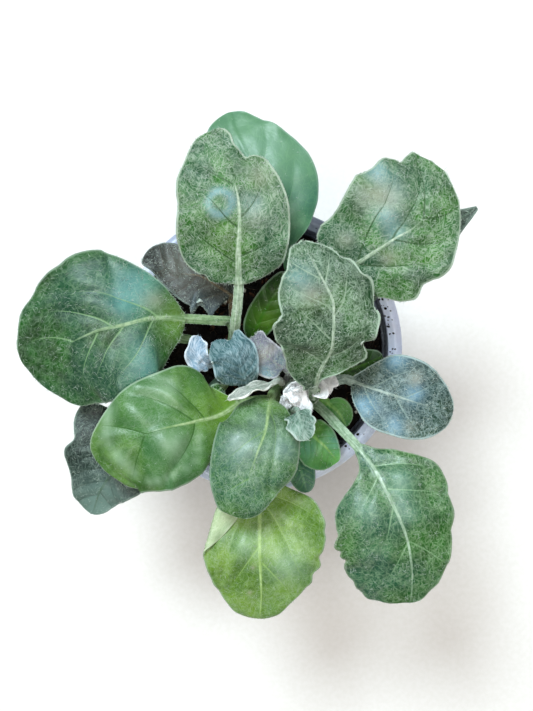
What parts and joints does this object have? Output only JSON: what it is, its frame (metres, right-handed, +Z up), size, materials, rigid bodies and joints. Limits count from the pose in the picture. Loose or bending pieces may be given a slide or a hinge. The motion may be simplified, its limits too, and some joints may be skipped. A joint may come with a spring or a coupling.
{
  "type": "potted dusty miller",
  "caption": "Young dusty miller with broad felted and glossy green leaves on two shoots, rooted in soil in a round nursery pot",
  "frame": {"origin": "centre of the flat underside of the pot's base", "axes": "+Z up along the pot's axis; +Y towards the tall felted leaf and the smooth blue-green leaf behind it; +X towards the small silver leaf"},
  "size_m": [0.1594, 0.1766, 0.1533],
  "materials": {
    "pot_plastic": "smooth, lightly glossy",
    "potting_soil": "loose and matte",
    "shoot_felt": "white woolly felt",
    "felted_leaf": "green under white felt hairs",
    "green_leaf": "waxy with scattered white hairs",
    "yellow_leaf": "waxy, yellowing",
    "blue_leaf": "smooth with a dull bloom",
    "silver_leaf": "dense silver felt"
  },
  "bodies": {
    "root": {"pot": "pot_plastic", "soil": "potting_soil", "shoot_right": "shoot_felt", "shoot_left": "shoot_felt", "leaf_north_felted": "felted_leaf", "leaf_north_smooth": "blue_leaf", "leaf_west_large": "green_leaf", "leaf_southwest_puckered": "green_leaf", "leaf_south_upper": "green_leaf", "leaf_south_yellow": "yellow_leaf", "leaf_southeast_large": "green_leaf", "leaf_east_silver": "silver_leaf", "leaf_northeast_large": "felted_leaf", "leaf_northeast_pointed": "felted_leaf", "leaf_centre_felted": "felted_leaf", "leaf_northwest_dusky": "felted_leaf", "leaf_southwest_lobed": "felted_leaf", "leaf_inner_north": "green_leaf", "leaf_inner_south": "green_leaf", "leaf_inner_south_low": "green_leaf", "leaf_inner_southeast": "green_leaf", "leaf_inner_east": "green_leaf", "leaf_west_hidden": "green_leaf", "young_leaf_mauve": "silver_leaf", "young_leaf_silver": "silver_leaf", "young_leaf_curled": "silver_leaf", "young_leaf_edge": "silver_leaf", "young_leaf_lobed": "felted_leaf", "young_leaf_green": "green_leaf"}
  },
  "joints": []
}
